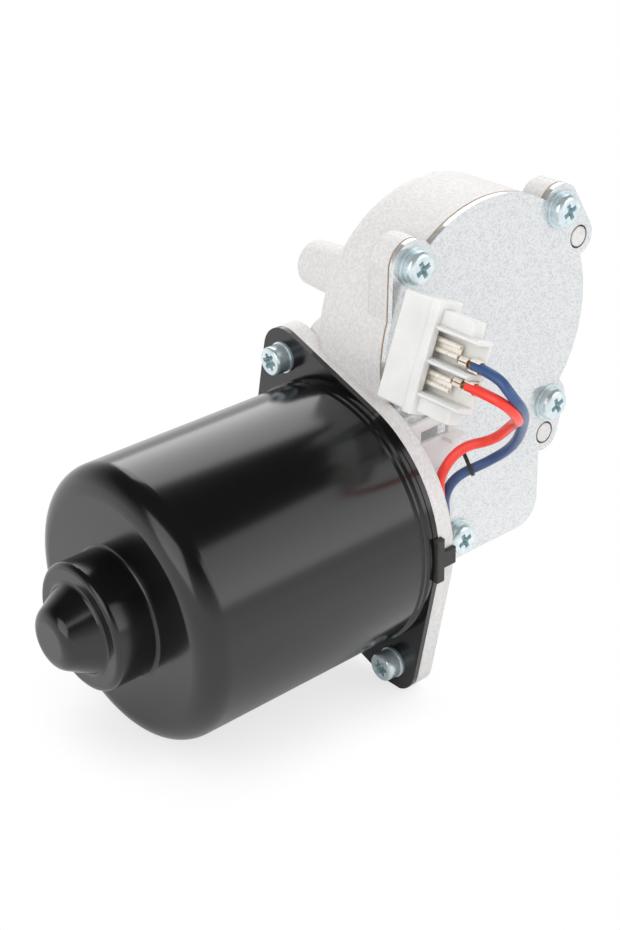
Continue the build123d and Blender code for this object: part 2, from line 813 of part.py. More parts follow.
def route_radii(points):
    """Arc radius at each corner: a share of the shorter run over the tangent of half the turn."""
    radii = []
    for before, corner, after in zip(points, points[1:], points[2:]):
        first = Vector(*corner) - Vector(*before)
        second = Vector(*after) - Vector(*corner)
        turn = math.radians(first.get_angle(second))
        radii.append(arc_share * min(first.length, second.length) / math.tan(turn / 2))
    return radii


def lead(name, points):
    """Round lead along its route; prints its arc radii and its length."""
    radii = route_radii(points)
    path = FilletPolyline(*points, radius=radii)
    section = Plane(origin=path @ 0, z_dir=path % 0) * Circle(lead_diameter / 2)
    tube = sweep(section, path=path)
    expected = math.pi * (lead_diameter / 2) ** 2 * path.length
    print(name, "length", round(path.length, 1), "radii", [round(r, 1) for r in radii],
          "volume ratio", round(tube.volume / expected, 4))
    return tube


def lead_tie():
    """Small tie round the blue lead, on the run where it leaves the guide."""
    start, end = (Vector(*point) for point in blue_route[4:6])
    middle = start + (end - start) * 0.5
    ring = Circle(lead_diameter / 2 + tie_thickness) - Circle(lead_diameter / 2 + running_fit)
    return extrude(Plane(origin=middle, z_dir=end - start) * ring, tie_width / 2, both=True)


def lead_guide():
    """Nylon tab on the case flange behind the leads, with a lip that hooks over them at its end."""
    low_corner = (Align.MIN, Align.MIN, Align.MIN)
    plate = Box(guide_length, guide_thickness, guide_height, align=low_corner)
    far_edges = plate.edges().filter_by(Axis.Y).sort_by(Axis.X)[-2:]
    tab = fillet(far_edges, guide_thickness)
    lip = Box(guide_lip_length, guide_lip + guide_thickness, guide_thickness, align=low_corner)
    tab += Pos(guide_length - guide_lip_length - guide_thickness, -guide_lip, guide_height / 2) * lip
    slot = Box(guide_length / 2, 3 * guide_thickness, guide_lip)
    tab -= Pos(guide_length / 2, 0, guide_height - guide_lip - guide_thickness) * slot
    return Pos(case_flange, guide_back, guide_low) * tab


def connector_ribs():
    """Thin ribs beside every way on both broad faces of the connector's rear."""
    middle = connector_front - shroud_depth - rear_depth / 2
    ribs = []
    for step in range(connector_ways + 1):
        height = rear_shift + (step - connector_ways / 2) * way_pitch
        rib = Box(rear_thickness + 2 * rib_height, rear_depth, rib_width)
        ribs.append(Pos(0, middle, height) * rib)
    return ribs


def connector_housing():
    """Nylon plug body: wide shroud with a raised band, then a rear of open ways between two cheeks."""
    shroud_middle = connector_front - shroud_depth / 2
    band_middle = connector_front - shroud_depth + shroud_band / 2
    rear_middle = connector_front - shroud_depth - rear_depth / 2
    cheek_middle = connector_front - shroud_depth - cheek_length / 2
    rear_length = connector_ways * way_pitch + 2 * rear_wall
    body = Pos(0, shroud_middle, 0) * Box(shroud_thickness, shroud_depth, shroud_length)
    body = fillet(body.edges().filter_by(Axis.Y), connector_round)
    band = Box(shroud_thickness + shroud_step, shroud_band, shroud_length + shroud_step)
    body += Pos(0, band_middle, 0) * band
    body += Pos(0, rear_middle, rear_shift) * Box(rear_thickness, rear_depth, rear_length)
    cheek_span = shroud_length - 2 * shroud_wall
    body += Pos(0, cheek_middle, rear_shift) * Box(cheek_width, cheek_length, cheek_span)
    body += connector_ribs()
    socket_depth = shroud_depth - shroud_band
    socket = Box(shroud_thickness - 2 * shroud_wall, socket_depth, shroud_length - 2 * shroud_wall)
    body -= Pos(0, connector_front - socket_depth / 2, 0) * socket
    for offset in way_offsets():
        body -= Pos(0, rear_middle, offset) * Box(way_height, rear_depth + 2 * shroud_depth, way_width)
        body -= Pos(-rear_thickness / 2, rear_middle, offset) * Box(rear_thickness, rear_depth, way_width)
    return connector_frame() * body


def along_connector(low, high, width, height, offset):
    """Flat strip of terminal sheet along a way, from local y = low to high."""
    return Pos(0, (low + high) / 2, offset) * Box(height, high - low, width)


def connector_terminals():
    """Tinned terminals in the ways: blade with rolled edges, neck, wire crimp and insulation crimp."""
    high = connector_front - terminal_inset
    wire_start = crimp_end + crimp_length + crimp_gap
    blade_start = wire_start + wire_crimp_length + crimp_gap
    pieces = []
    for offset in way_offsets():
        crimp_z = crimp_height(offset)
        piece = along_connector(blade_start, high, terminal_width, terminal_sheet, offset)
        piece += along_connector(crimp_end, blade_start + crimp_gap, terminal_neck, terminal_sheet, crimp_z)
        for side in (-1, 1):
            edge = offset + side * (terminal_width / 2)
            roll = Cylinder(terminal_roll, high - blade_start)
            piece += Pos(0, (blade_start + high) / 2, edge) * Rot(90, 0, 0) * roll
        barrel = Pos(0, crimp_end + crimp_length / 2, crimp_z) * Rot(90, 0, 0)
        piece += barrel * Cylinder(crimp_radius, crimp_length)
        grip = Pos(0, wire_start + wire_crimp_length / 2, crimp_z) * Rot(90, 0, 0)
        piece += grip * Cylinder(wire_crimp_radius, wire_crimp_length)
        pieces.append(connector_frame() * piece)
    return pieces


def export_all():
    """Build every node and write one STEP file for each."""
    os.makedirs("parts", exist_ok=True)
    cover_screws, cover_washers = cover_screws_and_washers()
    can_screws, can_washers = can_screws_and_washers()
    nodes = {
        "motor_can": motor_can(),
        "field_magnets": field_magnets(),
        "rear_bush": rear_bush(),
        "rear_bush_retainer": rear_bush_retainer(),
        "rear_thrust_pad": rear_thrust_pad(),
        "armature_shaft": armature_shaft(),
        "rotor_core": rotor_core(),
        "rotor_winding": rotor_winding(),
        "commutator": commutator(),
        "worm": worm(),
        "worm_wheel": worm_wheel(),
        "output_shaft": output_shaft(),
        "output_bushes": output_bushes(),
        "output_seal": output_seal(),
        "wheel_thrust_washer": wheel_thrust_washer(),
        "gear_housing": gear_housing(),
        "cover_plate": cover_plate(),
        "cover_gasket": cover_gasket(),
        "cover_screws": cover_screws,
        "cover_screw_washers": cover_washers,
        "can_screws": can_screws,
        "can_screw_washers": can_washers,
        "front_bearing": front_bearing(),
        "worm_end_bush": worm_end_bush(),
        "brush_plate": brush_plate(),
        "brush_holders": brush_holders(),
        "brushes": brushes(),
        "brush_springs": brush_springs(),
        "wheel_circlip": wheel_circlip(),
        "rubber_plug": rubber_plug(),
        "lead_grommet": lead_grommet(),
        "lead_guide": lead_guide(),
        "lead_blue": lead("lead_blue", blue_route),
        "lead_red": lead("lead_red", red_route),
        "lead_tie": lead_tie(),
        "connector_housing": connector_housing(),
        "connector_terminals": connector_terminals(),
    }
    home = Pos(-wheel_x, -boss_lug, -wheel_z)
    for name, shape in nodes.items():
        pieces = shape if isinstance(shape, list) else [shape]
        solids = [solid for piece in pieces for solid in (home * piece).solids()]
        whole = solids[0] if len(solids) == 1 else Compound(children=solids)
        export_step(whole, f"parts/{name}.step")


export_all()
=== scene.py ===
import logging
import math
from dataclasses import dataclass, field
from enum import Enum
from typing import Callable, Optional, Sequence, Union

import bmesh
import bpy
from mathutils import Matrix, Vector


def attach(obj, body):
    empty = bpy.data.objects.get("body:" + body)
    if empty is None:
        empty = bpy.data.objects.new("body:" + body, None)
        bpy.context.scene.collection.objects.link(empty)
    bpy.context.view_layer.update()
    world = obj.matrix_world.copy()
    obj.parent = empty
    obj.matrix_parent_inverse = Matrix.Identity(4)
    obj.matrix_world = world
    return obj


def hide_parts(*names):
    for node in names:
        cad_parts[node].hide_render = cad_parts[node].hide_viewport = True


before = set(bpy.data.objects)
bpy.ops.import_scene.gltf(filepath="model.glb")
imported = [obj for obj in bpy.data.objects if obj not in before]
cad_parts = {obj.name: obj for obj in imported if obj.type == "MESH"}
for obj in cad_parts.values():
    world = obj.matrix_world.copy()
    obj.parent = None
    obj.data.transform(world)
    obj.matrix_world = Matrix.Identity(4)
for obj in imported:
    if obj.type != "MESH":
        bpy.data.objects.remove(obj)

# Looks of a wiper motor: finishes, leads, screws, plug connector, floor, light and camera.
# Lengths are millimetres in the motor's own frame (X along the motor axis from can to gear case,
# Y along the output shaft, Z up) until place() turns them into metres in the frame of the part.

MM = 0.001
MOTOR_AXIS = Vector((-41.0, -19.0, -46.0))
LOG = logging.getLogger("wiper_motor")

Colour = tuple[float, float, float]
Point = tuple[float, float, float]
Input = Union[float, Sequence[float], bpy.types.NodeSocket]


def place(point: Sequence[float]) -> Vector:
    """Turn a point of the motor's frame into the part's frame.

    Args:
        point: x, y, z in millimetres from the middle of the flange joint.

    Returns:
        The same point in metres from the middle of the mounting face.
    """
    return (Vector(point) + MOTOR_AXIS) * MM


# ---------------------------------------------------------------- node trees
class Graph:
    """Adds and joins nodes in one node tree."""

    def __init__(self, tree: bpy.types.NodeTree) -> None:
        """Keep the tree.

        Args:
            tree: the material, world or group tree to fill.
        """
        self.tree = tree

    def node(self, kind: str, inputs: Optional[dict[str, Input]] = None, **settings: object) -> bpy.types.Node:
        """Add a node and set it up.

        Args:
            kind: Blender's type name of the node.
            inputs: value or source socket for each named or numbered input.
            settings: attributes of the node.

        Returns:
            The new node.
        """
        made = self.tree.nodes.new(kind)
        for name, value in settings.items():
            setattr(made, name, value)
        for key, value in (inputs or {}).items():
            self.feed(made.inputs[int(key) if key.isdigit() else key], value)
        return made

    def feed(self, target: bpy.types.NodeSocket, value: Input) -> None:
        """Set an input to a value, or join it to another node's output.

        Args:
            target: the input.
            value: number, colour or output socket.
        """
        if isinstance(value, bpy.types.NodeSocket):
            self.tree.links.new(value, target)
        elif target.type == "RGBA" and len(value) == 3:
            target.default_value = (*value, 1.0)
        else:
            target.default_value = value

    def math(self, operation: str, *values: Input, clamp: bool = False) -> bpy.types.NodeSocket:
        """Add a Math node.

        Args:
            operation: the node's operation.
            values: its inputs in order.
            clamp: keep the result within 0 and 1.

        Returns:
            The result's socket.
        """
        inputs = {str(index): value for index, value in enumerate(values)}
        return self.node("ShaderNodeMath", inputs, operation=operation, use_clamp=clamp).outputs[0]

    def blend(self, factor: Input, first: Input, second: Input) -> bpy.types.NodeSocket:
        """Mix two colours.

        Args:
            factor: 0 for the first colour, 1 for the second.
            first: first colour.
            second: second colour.

        Returns:
            The mixed colour's socket.
        """
        inputs = {"0": factor, "6": first, "7": second}
        return self.node("ShaderNodeMix", inputs, data_type="RGBA").outputs[2]

    def span(self, value: Input, low: float, high: float, start: Input, end: Input) -> bpy.types.NodeSocket:
        """Map a range of values to another one, clamped.

        Args:
            value: the value to map.
            low: value that gives start.
            high: value that gives end.
            start: result at low.
            end: result at high.

        Returns:
            The mapped value's socket.
        """
        inputs = {"0": value, "1": low, "2": high, "3": start, "4": end}
        return self.node("ShaderNodeMapRange", inputs).outputs[0]

    def where(self, stretch: Point = (1.0, 1.0, 1.0)) -> bpy.types.NodeSocket:
        """Object coordinates, stretched along the part's axes.

        Args:
            stretch: scale of the pattern along X, Y and Z.

        Returns:
            The coordinates' socket.
        """
        source = self.node("ShaderNodeTexCoord").outputs["Object"]
        return self.node("ShaderNodeMapping", {"Vector": source, "Scale": stretch}).outputs[0]

    def noise(self, where: Input, scale: Input, detail: float = 3.0, roughness: float = 0.5) -> bpy.types.NodeSocket:
        """Noise value at a place.

        Args:
            where: coordinates.
            scale: how many bumps per metre.
            detail: octaves.
            roughness: strength of the finer octaves.

        Returns:
            The noise value's socket.
        """
        inputs = {"Vector": where, "Scale": scale, "Detail": detail, "Roughness": roughness}
        return self.node("ShaderNodeTexNoise", inputs).outputs[0]


def new_group(name: str, inputs: dict[str, float], outputs: Sequence[str],
              fill: Callable[[Graph, bpy.types.Node], Sequence[bpy.types.NodeSocket]]) -> bpy.types.NodeTree:
    """Make a shader node group with named inputs and value outputs.

    Args:
        name: name of the group.
        inputs: name and default of each value input; "Vector" is made a vector input.
        outputs: names of the value outputs.
        fill: adds the nodes, given the graph and the group's input node, and returns the output sockets.

    Returns:
        The group's tree.
    """
    tree = bpy.data.node_groups.new(name, "ShaderNodeTree")
    for label, value in inputs.items():
        kind = "NodeSocketVector" if label == "Vector" else "NodeSocketFloat"
        socket = tree.interface.new_socket(label, in_out="INPUT", socket_type=kind)
        if label != "Vector":
            socket.default_value = value
    for label in outputs:
        tree.interface.new_socket(label, in_out="OUTPUT", socket_type="NodeSocketFloat")
    graph = Graph(tree)
    results = fill(graph, graph.node("NodeGroupInput"))
    end = graph.node("NodeGroupOutput")
    for label, result in zip(outputs, results):
        graph.feed(end.inputs[label], result)
    return tree


class Effects:
    """Shader node groups that several finishes share."""

    FINER_PITS = 3.1
    FINE_SHARE = 0.35
    PIT_LEVELS = (0.35, 0.65)
    FINER_SMUDGES = 6.0
    SMUDGE_LEVELS = (0.42, 0.68)
    BREAK_LEVELS = (0.3, 0.6)
    EDGE_LEAN = (0.99, 0.82)
    CORNER_LIGHT = (0.85, 0.35)

    def __init__(self) -> None:
        """Build each group once."""
        self.grain = new_group("fine_grain", {"Vector": 0.0, "Scale": 900.0, "Depth": 1.0},
                               ("Height", "Mask"), self.fill_grain)
        self.handling = new_group("handling_marks", {"Vector": 0.0, "Scale": 40.0, "Amount": 0.5},
                                  ("Mask",), self.fill_handling)
        self.edge = new_group("edge_wear", {"Radius": 0.0006, "Amount": 1.0},
                              ("Mask",), self.fill_edge)
        # Painted shade: a mask of corners and recesses, where little light reaches, for darkening the colour there.
        self.crevice = new_group("crevice_dirt", {"Distance": 0.004, "Amount": 0.5},
                                 ("Mask",), self.fill_crevice)

    @staticmethod
    def fill_grain(graph: Graph, start: bpy.types.Node) -> Sequence[bpy.types.NodeSocket]:
        """Two sizes of pits.

        Args:
            graph: the group's graph.
            start: the group's input node.

        Returns:
            A height for bump and a mask for roughness.
        """
        coarse = graph.noise(start.outputs["Vector"], start.outputs["Scale"], 4.0, 0.62)
        finer = graph.math("MULTIPLY", start.outputs["Scale"], Effects.FINER_PITS)
        fine = graph.noise(start.outputs["Vector"], finer, 2.0)
        height = graph.math("MULTIPLY_ADD", fine, Effects.FINE_SHARE, coarse)
        mask = graph.span(coarse, *Effects.PIT_LEVELS, 0.0, 1.0)
        return graph.math("MULTIPLY", height, start.outputs["Depth"]), mask

    @staticmethod
    def fill_handling(graph: Graph, start: bpy.types.Node) -> Sequence[bpy.types.NodeSocket]:
        """Large soft smudges broken up by finer ones.

        Args:
            graph: the group's graph.
            start: the group's input node.

        Returns:
            The mask of the smudges.
        """
        broad = graph.noise(start.outputs["Vector"], start.outputs["Scale"], 3.0, 0.6)
        finer = graph.math("MULTIPLY", start.outputs["Scale"], Effects.FINER_SMUDGES)
        fine = graph.noise(start.outputs["Vector"], finer, 2.0)
        smudges = graph.span(broad, *Effects.SMUDGE_LEVELS, 0.0, 1.0)
        both = graph.math("MULTIPLY", smudges, graph.span(fine, *Effects.BREAK_LEVELS, 0.5, 1.0))
        return (graph.math("MULTIPLY", both, start.outputs["Amount"]),)

    @staticmethod
    def fill_edge(graph: Graph, start: bpy.types.Node) -> Sequence[bpy.types.NodeSocket]:
        """Sharp edges, found by how far a rounded normal leans from the flat one.

        Args:
            graph: the group's graph.
            start: the group's input node.

        Returns:
            A mask that is 1 on sharp edges.
        """
        rounded = graph.node("ShaderNodeBevel", {"Radius": start.outputs["Radius"]}, samples=4)
        flat = graph.node("ShaderNodeNewGeometry").outputs["Normal"]
        lean = graph.node("ShaderNodeVectorMath", {"0": rounded.outputs[0], "1": flat}, operation="DOT_PRODUCT")
        mask = graph.span(lean.outputs["Value"], *Effects.EDGE_LEAN, 0.0, 1.0)
        return (graph.math("MULTIPLY", mask, start.outputs["Amount"]),)

    @staticmethod
    def fill_crevice(graph: Graph, start: bpy.types.Node) -> Sequence[bpy.types.NodeSocket]:
        """Corners and recesses where shade is painted, found by how little light reaches them.

        Args:
            graph: the group's graph.
            start: the group's input node.

        Returns:
            A mask that is 1 in corners.
        """
        closed = graph.node("ShaderNodeAmbientOcclusion", {"Distance": start.outputs["Distance"]}, samples=6)
        mask = graph.span(closed.outputs["AO"], *Effects.CORNER_LIGHT, 0.0, 1.0)
        return (graph.math("MULTIPLY", mask, start.outputs["Amount"]),)


# ---------------------------------------------------------------- finishes
PATTERN_LEVELS = (0.3, 0.7)
SPANGLE_LEVELS = (0.0, 0.6)
STRAND_TWIST = 0.6
SMUDGE_SCALE = 45.0
# reach of the shade painted into corners and recesses
CORNER_SHADE_REACH = 0.003
WEAR_RADIUS = 0.0005
WEAR_POLISH = -0.06
SOFT_WEIGHT = 0.6
SOFT_COLOUR = (1.0, 0.95, 0.85)


class Pattern(Enum):
    """Large pattern that colours a surface."""

    MOTTLE = "mottle"
    SPANGLE = "spangle"
    TURNING = "turning"
    STRANDS = "strands"


@dataclass(frozen=True)
class Finish:
    """One finish: its colours, gloss and the relief of its surface."""

    name: str
    dark: Colour
    light: Colour
    rough: tuple[float, float]
    metallic: float = 0.0
    pattern: Pattern = Pattern.MOTTLE
    pattern_scale: float = 60.0
    stretch: Point = (1.0, 1.0, 1.0)
    grain_scale: float = 1500.0
    grain_depth: float = 0.03
    edge_colour: Optional[Colour] = None
    edge_amount: float = 0.5
    # colour and strength of the shade painted into corners and recesses
    dirt_colour: Optional[Colour] = None
    dirt_amount: float = 0.4
    marks: float = 0.1
    coat: float = 0.0
    coat_rough: float = 0.05
    through: float = 0.0
    soft_depth: float = 0.0
    edge_round: float = 0.0003
    specular: float = 0.5
    coat_index: float = 1.5

    def mask(self, graph: Graph, where: bpy.types.NodeSocket) -> bpy.types.NodeSocket:
        """The large pattern as a value from 0 to 1.

        Args:
            graph: the material's graph.
            where: coordinates.

        Returns:
            The pattern's socket.
        """
        if self.pattern is Pattern.SPANGLE:
            inputs = {"Vector": where, "Scale": self.pattern_scale, "Randomness": 1.0}
            cells = graph.node("ShaderNodeTexVoronoi", inputs, feature="F1")
            level = graph.node("ShaderNodeSeparateColor", {"0": cells.outputs["Color"]}).outputs[0]
            return graph.span(level, *SPANGLE_LEVELS, 0.0, 1.0)
        if self.pattern is Pattern.TURNING:
            lines = graph.noise(where, self.pattern_scale, 2.0, 0.7)
            return graph.span(lines, *PATTERN_LEVELS, 0.0, 1.0)
        if self.pattern is Pattern.STRANDS:
            inputs = {"Vector": where, "Scale": self.pattern_scale, "Distortion": STRAND_TWIST}
            return graph.node("ShaderNodeTexWave", inputs, bands_direction="DIAGONAL").outputs[1]
        return graph.span(graph.noise(where, self.pattern_scale, 4.0, 0.6), *PATTERN_LEVELS, 0.0, 1.0)

    def build(self, effects: Effects) -> bpy.types.Material:
        """Make the material.

        Args:
            effects: the shared node groups.

        Returns:
            The new material.
        """
        material = bpy.data.materials.new(self.name)
        material.use_nodes = True
        graph = Graph(material.node_tree)
        shader = material.node_tree.nodes["Principled BSDF"]
        where = graph.where(self.stretch)
        plain = graph.where()
        mask = self.mask(graph, where)
        grain_inputs = {"Vector": plain, "Scale": self.grain_scale, "Depth": 1.0}
        grain = self.placed(graph, effects.grain, grain_inputs)
        smudge_inputs = {"Vector": plain, "Scale": SMUDGE_SCALE, "Amount": self.marks}
        smudge = self.placed(graph, effects.handling, smudge_inputs)
        colour = graph.blend(mask, self.dark, self.light)
        # Painted shade: the corner colour is mixed in where little light reaches, in corners and recesses.
        if self.dirt_colour:
            painted_shade = self.placed(graph, effects.crevice, {"Distance": CORNER_SHADE_REACH, "Amount": self.dirt_amount})
            colour = graph.blend(painted_shade.outputs["Mask"], colour, self.dirt_colour)
        rough = graph.span(mask, 0.0, 1.0, self.rough[0], self.rough[1])
        rough = graph.math("ADD", rough, smudge.outputs["Mask"])
        if self.edge_colour:
            edge = self.placed(graph, effects.edge, {"Radius": WEAR_RADIUS, "Amount": self.edge_amount})
            colour = graph.blend(edge.outputs["Mask"], colour, self.edge_colour)
            rough = graph.math("MULTIPLY_ADD", edge.outputs["Mask"], WEAR_POLISH, rough, clamp=True)
        graph.feed(shader.inputs["Base Color"], colour)
        graph.feed(shader.inputs["Roughness"], rough)
        rounded = graph.node("ShaderNodeBevel", {"Radius": self.edge_round}, samples=4)
        height = graph.math("MULTIPLY", grain.outputs["Height"], self.grain_depth)
        inputs = {"Strength": 1.0, "Distance": MM, "Height": height, "Normal": rounded.outputs[0]}
        graph.feed(shader.inputs["Normal"], graph.node("ShaderNodeBump", inputs).outputs[0])
        shader.inputs["Metallic"].default_value = self.metallic
        shader.inputs["Coat Weight"].default_value = self.coat
        shader.inputs["Coat Roughness"].default_value = self.coat_rough
        shader.inputs["Coat IOR"].default_value = self.coat_index
        shader.inputs["Transmission Weight"].default_value = self.through
        shader.inputs["Specular IOR Level"].default_value = self.specular
        if self.soft_depth:
            shader.inputs["Subsurface Weight"].default_value = SOFT_WEIGHT
            shader.inputs["Subsurface Radius"].default_value = SOFT_COLOUR
            shader.inputs["Subsurface Scale"].default_value = self.soft_depth
        return material

    @staticmethod
    def placed(graph: Graph, tree: bpy.types.NodeTree, inputs: dict[str, Input]) -> bpy.types.Node:
        """Place a node group in the material with its own values.

        Args:
            graph: the material's graph.
            tree: the group.
            inputs: value or source socket for each input.

        Returns:
            The group's node.
        """
        made = graph.node("ShaderNodeGroup")
        made.node_tree = tree
        for key, value in inputs.items():
            graph.feed(made.inputs[key], value)
        return made


# The corner colour of each finish is shade painted into its corners and recesses.
FINISHES = (
    Finish("black_paint", (0.0035, 0.0033, 0.0036), (0.006, 0.0055, 0.006), (0.42, 0.48), coat=1.0, coat_rough=0.18,
           pattern_scale=30.0, grain_scale=260.0, grain_depth=0.004, marks=0.03, edge_round=0.0006, specular=0.0,
           coat_index=1.6),
    Finish("cast_aluminium", (0.62, 0.60, 0.595), (0.77, 0.76, 0.755), (0.5, 0.62), metallic=0.12, specular=0.3,
           pattern_scale=1100.0, grain_scale=2500.0, grain_depth=0.1, edge_colour=(0.86, 0.855, 0.85),
           dirt_colour=(0.46, 0.42, 0.40), dirt_amount=0.4, marks=0.04, edge_round=0.0008),
    Finish("galvanised_sheet", (0.56, 0.605, 0.63), (0.76, 0.765, 0.77), (0.07, 0.11), metallic=0.6,
           pattern=Pattern.SPANGLE, pattern_scale=2300.0, grain_scale=2600.0, grain_depth=0.005,
           edge_colour=(0.84, 0.84, 0.85), edge_amount=0.3, dirt_colour=(0.42, 0.42, 0.43), dirt_amount=0.35,
           marks=0.03, edge_round=0.0002),
    Finish("blue_zinc", (0.58, 0.71, 0.75), (0.82, 0.89, 0.91), (0.12, 0.24), metallic=0.65, pattern_scale=400.0,
           grain_scale=1500.0, grain_depth=0.02, edge_colour=(0.88, 0.91, 0.92), dirt_colour=(0.34, 0.55, 0.60),
           dirt_amount=0.35, marks=0.1, edge_round=0.0002),
    Finish("zinc_steel", (0.55, 0.56, 0.58), (0.7, 0.7, 0.72), (0.25, 0.4), metallic=1.0, pattern_scale=200.0,
           grain_depth=0.03, dirt_colour=(0.2, 0.2, 0.2)),
    Finish("spring_steel", (0.3, 0.3, 0.31), (0.42, 0.42, 0.43), (0.25, 0.35), metallic=1.0, pattern_scale=300.0),
    Finish("ground_steel", (0.52, 0.52, 0.53), (0.66, 0.66, 0.67), (0.16, 0.26), metallic=1.0,
           pattern=Pattern.TURNING, pattern_scale=900.0, stretch=(1.0, 0.05, 1.0), grain_depth=0.02,
           edge_colour=(0.8, 0.8, 0.8), dirt_colour=(0.2, 0.19, 0.17)),
    Finish("lamination_steel", (0.18, 0.18, 0.19), (0.42, 0.42, 0.43), (0.35, 0.5), metallic=0.9,
           pattern=Pattern.TURNING, pattern_scale=2600.0, stretch=(1.0, 0.01, 0.01)),
    Finish("sintered_bronze", (0.42, 0.27, 0.12), (0.58, 0.4, 0.2), (0.4, 0.55), metallic=0.9, pattern_scale=700.0,
           grain_scale=2600.0, grain_depth=0.08),
    Finish("copper_wire", (0.36, 0.12, 0.05), (0.68, 0.3, 0.14), (0.2, 0.34), metallic=0.9, coat=0.4,
           pattern=Pattern.STRANDS, pattern_scale=420.0, grain_depth=0.2),
    Finish("commutator_copper", (0.62, 0.29, 0.16), (0.8, 0.45, 0.28), (0.2, 0.35), metallic=1.0,
           pattern=Pattern.TURNING, pattern_scale=1500.0, stretch=(1.0, 0.05, 0.05)),
    Finish("brass_sheet", (0.86, 0.80, 0.69), (0.95, 0.92, 0.86), (0.22, 0.34), metallic=0.2, pattern_scale=350.0,
           grain_depth=0.02, edge_colour=(0.95, 0.92, 0.86), dirt_colour=(0.62, 0.50, 0.36), dirt_amount=0.25),
    Finish("ferrite", (0.035, 0.034, 0.034), (0.07, 0.068, 0.066), (0.55, 0.7), pattern_scale=250.0,
           grain_depth=0.08),
    Finish("natural_nylon", (0.70, 0.70, 0.69), (0.77, 0.77, 0.76), (0.34, 0.44), pattern_scale=120.0,
           grain_scale=1300.0, grain_depth=0.02, soft_depth=0.0016, dirt_colour=(0.66, 0.61, 0.54),
           dirt_amount=0.2, edge_round=0.0004),
    Finish("clear_nylon", (0.90, 0.85, 0.84), (0.95, 0.91, 0.90), (0.25, 0.36), through=0.25, pattern_scale=120.0,
           grain_scale=1300.0, grain_depth=0.03, soft_depth=0.0025, edge_round=0.0004),
    Finish("wheel_resin", (0.55, 0.5, 0.38), (0.66, 0.61, 0.48), (0.35, 0.5), pattern_scale=150.0,
           soft_depth=0.0008, dirt_colour=(0.25, 0.2, 0.1), dirt_amount=0.5),
    Finish("black_rubber", (0.024, 0.023, 0.022), (0.045, 0.044, 0.042), (0.5, 0.66), pattern_scale=300.0,
           grain_scale=1800.0, grain_depth=0.05, edge_colour=(0.12, 0.118, 0.115), edge_round=0.0006),
    Finish("gasket_paper", (0.25, 0.17, 0.09), (0.38, 0.27, 0.16), (0.7, 0.85), pattern_scale=1500.0,
           grain_scale=3200.0, grain_depth=0.06, edge_round=0.0002),
    Finish("brown_laminate", (0.16, 0.07, 0.03), (0.28, 0.13, 0.06), (0.35, 0.5), pattern_scale=500.0),
    Finish("carbon", (0.02, 0.02, 0.02), (0.05, 0.05, 0.052), (0.45, 0.6), metallic=0.2, pattern_scale=900.0),
    Finish("blue_insulation", (0.028, 0.066, 0.18), (0.045, 0.098, 0.24), (0.26, 0.36), pattern_scale=260.0,
           grain_scale=1500.0, grain_depth=0.03, coat=0.15, coat_rough=0.25, marks=0.08, specular=0.45),
    Finish("red_insulation", (0.80, 0.035, 0.022), (0.92, 0.06, 0.04), (0.26, 0.36), pattern_scale=260.0,
           grain_scale=1500.0, grain_depth=0.03, coat=0.15, coat_rough=0.25, marks=0.08, specular=0.45),
)


class PaintShop:
    """Builds every finish and dresses the nodes of the frame."""

    def __init__(self) -> None:
        """Build the shared effects and all finishes."""
        effects = Effects()
        self.materials = {finish.name: finish.build(effects) for finish in FINISHES}

    def dress(self, piece: bpy.types.Object, finish: str) -> None:
        """Give a piece one finish.

        Args:
            piece: mesh or curve.
            finish: name of the finish.
        """
        piece.data.materials.clear()
        piece.data.materials.append(self.materials[finish])

    def dress_frame(self) -> None:
        """Give each material slot of the frame's nodes the finish of the same name."""
        for name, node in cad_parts.items():
            for slot in node.material_slots:
                base = slot.material.name.split(".")[0] if slot.material else ""
                finish = next((key for key in self.materials if base.startswith(key)), None)
                if finish is None:
                    LOG.warning("node %s has no finish for slot %s", name, base)
                    continue
                slot.link = "OBJECT"
                slot.material = self.materials[finish]
            LOG.info("node %s dressed", name)


# ---------------------------------------------------------------- leads
@dataclass
class Lead:
    """One insulated lead between the grommet and a crimp of the connector."""

    name: str
    finish: str
    length: float
    route: tuple[Point, ...]
    diameter: float = 2.8
    round_steps: int = 6
    curve_steps: int = 12
    with_pieces: list[bpy.types.Object] = field(default_factory=list)

    def build(self, shop: PaintShop) -> bpy.types.Object:
        """Make the lead as a smooth curve through its route.

        Args:
            shop: gives the finish.

        Returns:
            The curve.
        """
        data = bpy.data.curves.new(self.name, "CURVE")
        data.dimensions = "3D"
        data.bevel_depth = self.diameter / 2 * MM
        data.bevel_resolution = self.round_steps
        data.use_fill_caps = True
        spline = data.splines.new("NURBS")
        spline.points.add(len(self.route) - 1)
        for point, corner in zip(spline.points, self.route):
            point.co = (*place(corner), 1.0)
        spline.order_u = 3
        spline.use_endpoint_u = True
        spline.resolution_u = self.curve_steps
        piece = bpy.data.objects.new(self.name, data)
        bpy.context.collection.objects.link(piece)
        shop.dress(piece, self.finish)
        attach(piece, "housing")
        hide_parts(self.name.replace("_strand", ""))
        LOG.info("lead %s made", self.name)
        return piece


BLUE_ROUTE = ((7.2, -25.2, -4.1), (13.4, -25.2, -4.1), (14.8, -25.6, 1.7), (13.2, -26.2, 9.5), (17.2, -27.2, 14.8),
              (23.5, -31.5, 17.7), (26.0, -40.0, 25.3), (19.2, -49.2, 38.1), (10.8, -56.2, 47.1),
              (5.0, -57.4, 53.4), (4.570, -53.0, 57.354), (4.570, -44.8, 57.354))
RED_ROUTE = ((7.2, -28.4, -0.9), (11.0, -28.4, -0.9), (11.3, -28.0, 3.2), (10.1, -28.2, 9.0), (9.3, -28.2, 18.0),
             (15.2, -30.4, 25.5), (20.3, -38.0, 28.4), (18.6, -46.4, 37.4), (11.9, -54.2, 42.7),
             (5.9, -56.6, 49.2), (2.591, -53.0, 52.330), (2.591, -44.8, 52.330))


# ---------------------------------------------------------------- pieces modelled by hand
FACING = 0.9
AT_PLACE = 0.01


